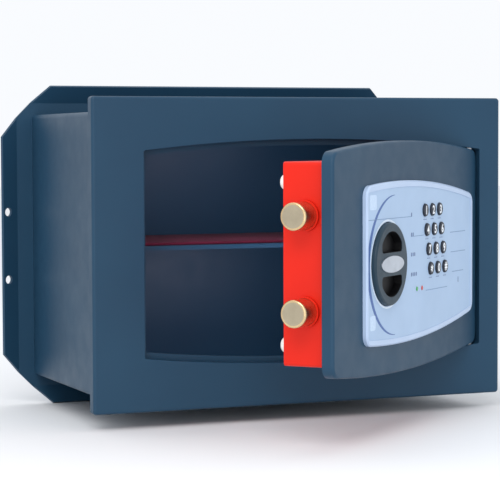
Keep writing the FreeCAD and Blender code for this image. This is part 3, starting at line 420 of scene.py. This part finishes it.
# The print stands this far out of the panel's face, and reaches as far into it.
INK = 0.04 * MM
overlay_box = shut_box("panel_overlay")
face = overlay_box[0].y
film_left = overlay_box[0].x
knob_box = shut_box("knob")
knob_middle = middle(knob_box)
knob_radius = (knob_box[1].x - knob_box[0].x) / 2
key_boxes = {name: shut_box(name) for name in frame["nodes"] if name.startswith("key_")}
KEY_ROWS = (("key_1", "key_2", "key_3"), ("key_4", "key_5", "key_6"), ("key_7", "key_8", "key_9"),
            ("key_star", "key_0", "key_hash"))
row_starts = [middle(key_boxes[row[0]]) for row in KEY_ROWS]
row_ends = [middle(key_boxes[row[2]]) for row in KEY_ROWS]

# Rules at the right: key row, start, end and drop below the row's last key, in mm.
SIDE_RULES = ((1, 96, 134, 4.7), (2, 97.6, 134, 5.3), (3, 101, 129, 6))


def printed(name, draw, material):
    """One colour of the panel's print, drawn by a function into a bmesh."""
    shapes = bmesh.new()
    draw(shapes)
    return on_door(name, shapes, material)


def crescent(shapes):
    """Bow round the knob's left side, widest in its middle."""
    hub_x, hub_z, radius = knob_middle.x + 17.5 * MM, knob_middle.z - 1.5 * MM, 57.6 * MM
    steps = 64
    points, widths = [], []
    for step in range(steps + 1):
        share = step / steps
        angle = math.radians(92 + 176 * share)
        points.append((hub_x + radius * math.cos(angle), hub_z + radius * math.sin(angle)))
        widths.append((0.4 + 4.4 * math.sin(math.pi * share) ** 1.1) * MM)
    add_band(shapes, points, widths, face - INK, face + INK)


def rule(shapes, start_x, end_x, z, width):
    """A thin level line, its width in mm."""
    add_band(shapes, [(start_x, z), (end_x, z)], [width * MM, width * MM], face - INK, face + INK)


def rules(shapes):
    """Rules across above the knob, before the second key row, after three rows and beside the lamps."""
    rule(shapes, film_left + 1 * MM, 6.5 * MM, row_starts[0].z - 4.4 * MM, 0.6)
    rule(shapes, 4.3 * MM, row_starts[1].x - 7 * MM, row_starts[1].z - 4.4 * MM, 0.6)
    for row, start, end, drop in SIDE_RULES:
        rule(shapes, start * MM, end * MM, row_ends[row].z - drop * MM, 0.7)
    rule(shapes, 38 * MM, 89 * MM, row_starts[3].z - 18.3 * MM, 0.7)


def tab(shapes, x, z, width, height, corner, steps=4):
    """A printed rectangle with round corners, its size in mm."""
    outline = rounded(x, z, width * MM, height * MM, corner * MM, steps)
    add_prism(shapes, outline, face - INK, face + INK)


def marks(shapes):
    """One to four bars before the key rows, a tick at the right, and three dashes under each key."""
    for index, start in enumerate(row_starts):
        for count in range(index + 1):
            tab(shapes, (5.5 + 3.6 * count) * MM, start.z - 2.8 * MM, 2.3, 3.4, 0.9)
    tab(shapes, 116.3 * MM, row_starts[3].z - 13.7 * MM, 1.6, 5, 0.7)
    for row in KEY_ROWS:
        for name in row:
            key = middle(key_boxes[name])
            for side in (-2.6, 0, 2.6):
                tab(shapes, key.x + side * MM, key.z - 7.9 * MM, 1.7, 0.9, 0.4, 2)


def pale_corners(shapes):
    """Blank pale tabs in the left corners."""
    tab(shapes, film_left + 11 * MM, 47 * MM, 14, 12, 2)
    tab(shapes, film_left + 10 * MM, -50 * MM, 11, 12, 2)


def painted_knob_highlight(shapes):
    """Pale ring round the knob: a painted highlight along the knob's edge, laid on the panel like print."""
    inner, outer = knob_radius + 0.9 * MM, knob_radius + 2.4 * MM
    front, back = face - INK, face + INK
    loops = []
    for radius, depth in ((outer, front), (inner, front), (inner, back), (outer, back)):
        loops.append([
            shapes.verts.new((knob_middle.x + radius * cosine, depth, knob_middle.z + radius * sine))
            for cosine, sine in round_about(96)
        ])
    sew(shapes, loops + loops[:1])


printed("print_crescent", crescent, dark_ink)
printed("print_rules", rules, line_ink)
printed("print_marks", marks, mark_ink)
printed("print_corner_tabs", pale_corners, ink("tab_ink", (184, 205, 232)))


# ---------------------------------------------------------------- key legends

SIGNS = {"star": "*", "hash": "#"}


def legend(name, box):
    """The number or sign on a key cap, as a thin raised print."""
    sign = name.split("_")[1]
    curve = bpy.data.curves.new(name + "_text", "FONT")
    curve.body = SIGNS.get(sign, sign)
    curve.size = (12.5 if sign == "star" else 9.8) * MM
    curve.extrude = 0.03 * MM
    curve.offset = 0.3 * MM
    curve.align_x = "CENTER"
    curve.resolution_u = 4
    text = bpy.data.objects.new(name + "_text", curve)
    bpy.context.scene.collection.objects.link(text)
    bpy.context.view_layer.update()
    mesh = bpy.data.meshes.new_from_object(text)
    bpy.data.objects.remove(text)
    mesh.name = name + "_legend"
    corners = [vertex.co for vertex in mesh.vertices]
    centre_x = (min(point.x for point in corners) + max(point.x for point in corners)) / 2
    centre_y = (min(point.y for point in corners) + max(point.y for point in corners)) / 2
    stand = Matrix.Translation((middle(box).x, box[0].y - 0.02 * MM, middle(box).z))
    upright = Matrix.Rotation(math.radians(90), 4, "X")
    mesh.transform(door_turn @ stand @ upright @ Matrix.Translation((-centre_x, -centre_y, 0)))
    ready(name + "_legend", mesh, legend_ink, name)


for name, box in key_boxes.items():
    legend(name, box)


# ---------------------------------------------------------------- knob

def recess_cup(node):
    """Dark liner over the floor and the walls of one of the knob's recesses."""
    low, high = shut_box(node)
    inlay = bmesh.new()
    inlay.from_mesh(frame["nodes"][node].data)
    bmesh.ops.transform(inlay, matrix=door_unturn, verts=inlay.verts)
    bmesh.ops.dissolve_limit(inlay, angle_limit=0.02, verts=inlay.verts, edges=inlay.edges)
    fronts = [each for each in inlay.faces if each.normal.y < -0.9]
    outline = [vertex.co.copy() for vertex in max(fronts, key=lambda each: each.calc_area()).verts]
    inlay.free()
    hub = Vector(((low.x + high.x) / 2, 0, (low.z + high.z) / 2))
    rim = knob_box[0].y
    cup = bmesh.new()
    loops = []
    for inset, depth in ((0.03, low.y - 0.02 * MM), (0.03, rim + 0.35 * MM), (0.35, rim + 0.45 * MM),
                         (0.5, low.y - 0.25 * MM)):
        loop = []
        for point in outline:
            away = Vector((point.x - hub.x, 0, point.z - hub.z)).normalized() * inset * MM
            loop.append(cup.verts.new((point.x - away.x, depth, point.z - away.z)))
        loops.append(loop)
    sew(cup, loops)
    cup.faces.new(loops[0])
    cup.faces.new(loops[-1])
    label = node.replace("inlay", "cup")
    on_door(label, cup, MATERIALS["black_plastic"], body="knob_set")


# The pale ring round the knob is a painted highlight, not print on the panel.
printed("print_painted_knob_highlight", painted_knob_highlight, ink("painted_highlight_ink", (212, 228, 246)))
recess_cup("knob_inlay_upper")
recess_cup("knob_inlay_lower")


# ---------------------------------------------------------------- felt mats

FELT_COLUMNS, FELT_ROWS = 120, 60
FELT_INSET = 0.3 * MM
FELT_LIFT = 0.02 * MM
NAP_ROOM = 0.35 * MM


def felt_point(low, size, u, v, upper):
    """A point of a mat's underside or napped upper side, at shares u and v of its width and depth."""
    x = low.x + FELT_INSET + (size.x - 2 * FELT_INSET) * u
    y = low.y + FELT_INSET + (size.y - 2 * FELT_INSET) * v
    edge = min(u * size.x, (1 - u) * size.x, v * size.y, (1 - v) * size.y) / MM
    wave = noise.noise(Vector((x, y, 7)) * 35) * 0.25 * MM if edge < 0.5 else 0.0
    height = FELT_LIFT
    if upper:
        fall = max(0.0, 1 - edge / 2.5) ** 2
        nap = noise.noise(Vector((x, y, 0)) * 90) * 0.22 + noise.noise(Vector((x, y, 3)) * 420) * 0.12
        height = size.z - NAP_ROOM + nap * MM - fall * 0.8 * MM
    return x + wave, y + wave, low.z + height


def mat(node, slot_name):
    """Needled felt with an uneven nap and soft, slightly wavy edges, in place of a plain mat."""
    low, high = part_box(node)
    size = high - low
    shapes = bmesh.new()
    bottom, top = [
        [
            [
                shapes.verts.new(felt_point(low, size, column / FELT_COLUMNS, row / FELT_ROWS, upper))
                for column in range(FELT_COLUMNS + 1)
            ]
            for row in range(FELT_ROWS + 1)
        ]
        for upper in (False, True)
    ]
    for row in range(FELT_ROWS):
        for column in range(FELT_COLUMNS):
            for side, flip in ((top, False), (bottom, True)):
                corners = [side[row][column], side[row][column + 1], side[row + 1][column + 1],
                           side[row + 1][column]]
                shapes.faces.new(list(reversed(corners)) if flip else corners)
    rim = [(0, column) for column in range(FELT_COLUMNS + 1)]
    rim += [(row, FELT_COLUMNS) for row in range(1, FELT_ROWS + 1)]
    rim += [(FELT_ROWS, column) for column in range(FELT_COLUMNS - 1, -1, -1)]
    rim += [(row, 0) for row in range(FELT_ROWS - 1, 0, -1)]
    for (row, column), (next_row, next_column) in zip(rim, rim[1:] + rim[:1]):
        shapes.faces.new((bottom[row][column], bottom[next_row][next_column],
                          top[next_row][next_column], top[row][column]))
    label = node + "_felt"
    piece = ready(label, into_mesh(label, shapes), MATERIALS[slot_name], "housing")
    piece.data.shade_smooth()
    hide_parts(node)


mat("shelf_mat", "wine_felt")
mat("floor_mat", "navy_felt")


# ---------------------------------------------------------------- electronics

# Chips on the main board: distance from its left and lower edge, width and height, in mm.
CHIPS = ((34, 30, 14, 14), (58, 16, 10, 7), (16, 12, 9, 6), (60, 40, 8, 10))
# Capacitors: distance from the left and lower edge, and radius, in mm.
CAPACITORS = ((10, 32, 3.2), (20, 44, 2.6), (74, 30, 2.6))
# Sockets: distance from the left and lower edge, and width, in mm.
SOCKETS = ((24, 49, 12), (44, 49, 8))
SOCKET_HEIGHT = 6 * MM
SOCKET_WALL = 0.8 * MM


def board_parts():
    """Chips, capacitors, a buzzer, sockets and solder joints on the main board, on its rear side."""
    low, high = shut_box("control_board")
    rear = high.y

    def at(across_mm, up_mm):
        return low.x + across_mm * MM, low.z + up_mm * MM

    chips, legs = bmesh.new(), bmesh.new()
    for across_mm, up_mm, wide, tall in CHIPS:
        left, base = at(across_mm, up_mm)
        right, top = left + wide * MM, base + tall * MM
        add_block(chips, (left, rear + 0.3 * MM, base), (right, rear + 2 * MM, top))
        pins = int(wide / 1.6)
        for pin in range(pins):
            leg = left + (pin + 0.7) * wide * MM / (pins + 0.4)
            for edge in (base - 0.9 * MM, top - 0.2 * MM):
                add_block(legs, (leg, rear, edge), (leg + 0.6 * MM, rear + 0.9 * MM, edge + 1.1 * MM))
    on_door("board_chips", chips, chip_black, 0.12)
    on_door("board_chip_legs", legs, solder)

    cans, tops = bmesh.new(), bmesh.new()
    for across_mm, up_mm, radius in CAPACITORS:
        left, base = at(across_mm, up_mm)
        end = rear + 8 * MM
        add_rod(cans, (left, rear, base), (left, end, base), radius * MM, 28)
        under, over = end - 0.1 * MM, end + 0.3 * MM
        add_rod(tops, (left, under, base), (left, over, base), (radius - 0.5) * MM, 28)
    on_door("board_capacitors", cans, capacitor_sleeve, 0.3)
    on_door("board_capacitor_tops", tops, solder, 0.1)

    buzzer = bmesh.new()
    left, base = at(70, 12)
    add_rod(buzzer, (left, rear, base), (left, rear + 6 * MM, base), 5.5 * MM, 36)
    on_door("board_buzzer", buzzer, chip_black, 0.5)

    sockets = bmesh.new()
    for across_mm, up_mm, wide in SOCKETS:
        left, base = at(across_mm, up_mm)
        right, top = left + wide * MM, base + SOCKET_HEIGHT
        add_block(sockets, (left, rear, base), (right, rear + SOCKET_WALL, top))
        rim = rear + 5 * MM
        for low_x, low_z, high_x, high_z in ((left, base, right, base + SOCKET_WALL),
                                             (left, top - SOCKET_WALL, right, top),
                                             (left, base, left + SOCKET_WALL, top),
                                             (right - SOCKET_WALL, base, right, top)):
            add_block(sockets, (low_x, rear, low_z), (high_x, rim, high_z))
    on_door("board_sockets", sockets, beige_plastic, 0.15)

    blobs = bmesh.new()
    for _ in range(60):
        left, base = at(random.uniform(4, 76), random.uniform(4, 54))
        bmesh.ops.create_uvsphere(
            blobs, u_segments=10, v_segments=6, radius=random.uniform(0.35, 0.6) * MM,
            matrix=Matrix.Translation((left, rear, base)),
        )
    on_door("board_solder", blobs, solder)


def spring_points(start_x, way, hub_y, hub_z):
    """Points along a cone-shaped contact spring that narrows towards its cell."""
    turns, steps = 2.2, 45
    points = []
    for step in range(steps + 1):
        share = step / steps
        angle = 2 * math.pi * turns * share
        reach = (3.6 - 1.6 * share) * MM
        points.append(Vector((start_x + way * (0.55 - 0.45 * share) * MM,
                              hub_y + reach * math.cos(angle), hub_z + reach * math.sin(angle))))
    return points


def battery_terminals():
    """The cells' plus caps, and the holder's contact plates and springs."""
    low, high = shut_box("batteries")
    hub_y = middle((low, high)).y
    pitch = 15 * MM
    radius = (high.y - low.y) / 2
    caps, plates, springs = bmesh.new(), bmesh.new(), bmesh.new()
    for index in range(4):
        level = low.z + radius + index * pitch
        plus_right = index % 2
        plus_x, plus_way = (high.x, 1) if plus_right else (low.x, -1)
        minus_x, minus_way = (low.x, -1) if plus_right else (high.x, 1)
        root, tip = plus_x - plus_way * 0.1 * MM, plus_x + plus_way * 0.55 * MM
        add_rod(caps, (root, hub_y, level), (tip, hub_y, level), 2.7 * MM, 24)
        for end_x, way in ((low.x, -1), (high.x, 1)):
            near = end_x + way * 0.62 * MM
            far = near + way * 0.3 * MM
            add_block(plates, (min(near, far), hub_y - 4.5 * MM, level - 5 * MM),
                      (max(near, far), hub_y + 4.5 * MM, level + 5 * MM))
        points = spring_points(minus_x, minus_way, hub_y, level)
        for start, end in zip(points, points[1:]):
            add_rod(springs, start, end, 0.22 * MM, 8)
    on_door("battery_caps", caps, MATERIALS["bright_steel"], 0.2)
    on_door("battery_contacts", plates, solder)
    on_door("battery_springs", springs, solder)


def keypad_contacts():
    """Copper pads on the keypad board, one under each key."""
    front = shut_box("keypad_board")[0].y
    reach = 0.05 * MM
    pads = bmesh.new()
    for box in key_boxes.values():
        key = middle(box)
        add_rod(pads, (key.x, front - reach, key.z), (key.x, front + reach, key.z), 3.6 * MM, 28)
    on_door("keypad_contacts", pads, copper)


board_parts()
battery_terminals()
keypad_contacts()


# ---------------------------------------------------------------- weld bead

BEAD_STEPS = 10


def bead(name, corners, radius, body):
    """A rippled weld in straight runs round a loop of corners."""
    shapes = bmesh.new()
    loops = []
    for start, end in zip(corners, corners[1:] + corners[:1]):
        run = Vector(end) - Vector(start)
        along = run.normalized()
        side = along.cross(Vector((0, 1, 0))).normalized()
        up = side.cross(along).normalized()
        count = max(2, int(run.length / (1.1 * MM)))
        for step in range(count):
            point = Vector(start).lerp(Vector(end), step / count)
            ripple = abs(math.sin(len(loops) * 1.35))
            swell = radius * (0.85 + 0.15 * ripple + 0.08 * noise.noise(point * 300))
            loops.append([
                shapes.verts.new(point + side * swell * cosine + up * swell * sine)
                for cosine, sine in round_about(BEAD_STEPS)
            ])
    sew(shapes, loops + loops[:1])
    piece = ready(name, into_mesh(name, shapes), MATERIALS["case_paint"], body)
    piece.data.shade_smooth()


def weld_front():
    """The bead where the body meets the back of the front plate."""
    low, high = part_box("body_shell")
    y = low.y + 0.3 * MM
    inset = 0.1 * MM
    left, right = low.x + inset, high.x - inset
    base, top = low.z + inset, high.z - inset
    corners = [(left, y, base), (right, y, base), (right, y, top), (left, y, top)]
    bead("weld_front", corners, 1.3 * MM, "housing")


weld_front()


# ---------------------------------------------------------------- bolt ends

# The disc on a bolt's end: reach from its middle and distance behind the bolt's tip, in mm.
BOLT_DISC = ((8.3, -0.055), (8.9, -0.025), (9.1, -0.025), (9.1, 0.3))


def bolt_disc(node, material):
    """A turned disc with a low step, set in a bolt's end."""
    low, high = shut_box(node)
    hub = middle((low, high))
    shapes = bmesh.new()
    loops = []
    for reach_mm, behind_mm in BOLT_DISC:
        x, reach = low.x + behind_mm * MM, reach_mm * MM
        loops.append([
            shapes.verts.new((x, hub.y + reach * cosine, hub.z + reach * sine))
            for cosine, sine in round_about(72)
        ])
    sew(shapes, loops)
    shapes.faces.new(loops[0])
    shapes.faces.new(list(reversed(loops[-1])))
    on_door(node + "_end", shapes, material, body="bolt_carriage")


bolt_end = turned_metal("bolt_end", (186, 174, 150), 0.5, marks=1800, depth=0.03 * MM)
bolt_disc("bolt_upper", bolt_end)
bolt_disc("bolt_lower", bolt_end)


# ---------------------------------------------------------------- studio and camera

def soft_light(name, size, energy, place, target, colour=(1, 1, 1)):
    lamp = bpy.data.lights.new(name, "AREA")
    lamp.shape = "RECTANGLE"
    lamp.size, lamp.size_y = size
    lamp.energy = energy
    lamp.color = colour
    holder = bpy.data.objects.new(name, lamp)
    holder.location = place
    holder.rotation_mode = "QUATERNION"
    holder.rotation_quaternion = (Vector(target) - Vector(place)).to_track_quat("-Z", "Y")
    bpy.context.scene.collection.objects.link(holder)


def studio():
    """Pale floor, even pale world, soft lights round the safe, and weak ones that fill its inside."""
    world = bpy.data.worlds.new("studio")
    world.use_nodes = True
    world.node_tree.nodes["Background"].inputs["Color"].default_value = (0.95, 0.97, 1.0, 1)
    world.node_tree.nodes["Background"].inputs["Strength"].default_value = 1.0
    bpy.context.scene.world = world

    ground = (0, 0, cad_box[0].z)
    bpy.ops.mesh.primitive_circle_add(vertices=96, radius=9, fill_type="NGON", location=ground)
    floor = bpy.context.object
    floor.name = "floor"
    floor.data.materials.append(Finish("floor_paper", (236, 237, 239), 0.9).material)

    aim = (0, -0.1, 0)
    soft_light("key_light", (1.4, 1.0), 22, (-1.05, -1.85, 1.6), aim)
    soft_light("fill_light", (1.6, 1.2), 1, (1.6, -1.8, 0.7), aim)
    soft_light("top_light", (1.6, 1.2), 5, (0.1, 0.1, 2.1), aim)
    soft_light("front_light", (0.5, 0.4), 0.8, (-0.35, -1.1, 0.05), (-0.03, 0, 0))
    for level in (0.1, -0.03):
        place, target = (-0.02, -0.175, level), (0, 0, level - 0.05)
        soft_light("inner_light", (0.2, 0.03), 0.13, place, target, (0.9, 0.85, 1))


def camera():
    """A long lens level with the safe, left of its front."""
    view = bpy.data.cameras.new("camera")
    view.sensor_width = 36
    view.lens = 142.07
    holder = bpy.data.objects.new("camera", view)
    place = Matrix.Translation((-0.69947, -1.79164, 0.09605))
    yaw, pitch, roll = math.radians(22.208), math.radians(-3.139), math.radians(-0.215)
    heading = Matrix.Rotation(-yaw, 4, "Z") @ Matrix.Rotation(math.radians(90) + pitch, 4, "X")
    holder.matrix_world = place @ heading @ Matrix.Rotation(roll, 4, "Z")
    bpy.context.scene.collection.objects.link(holder)
    bpy.context.scene.camera = holder


studio()
camera()
bpy.context.scene.view_settings.view_transform = "Standard"
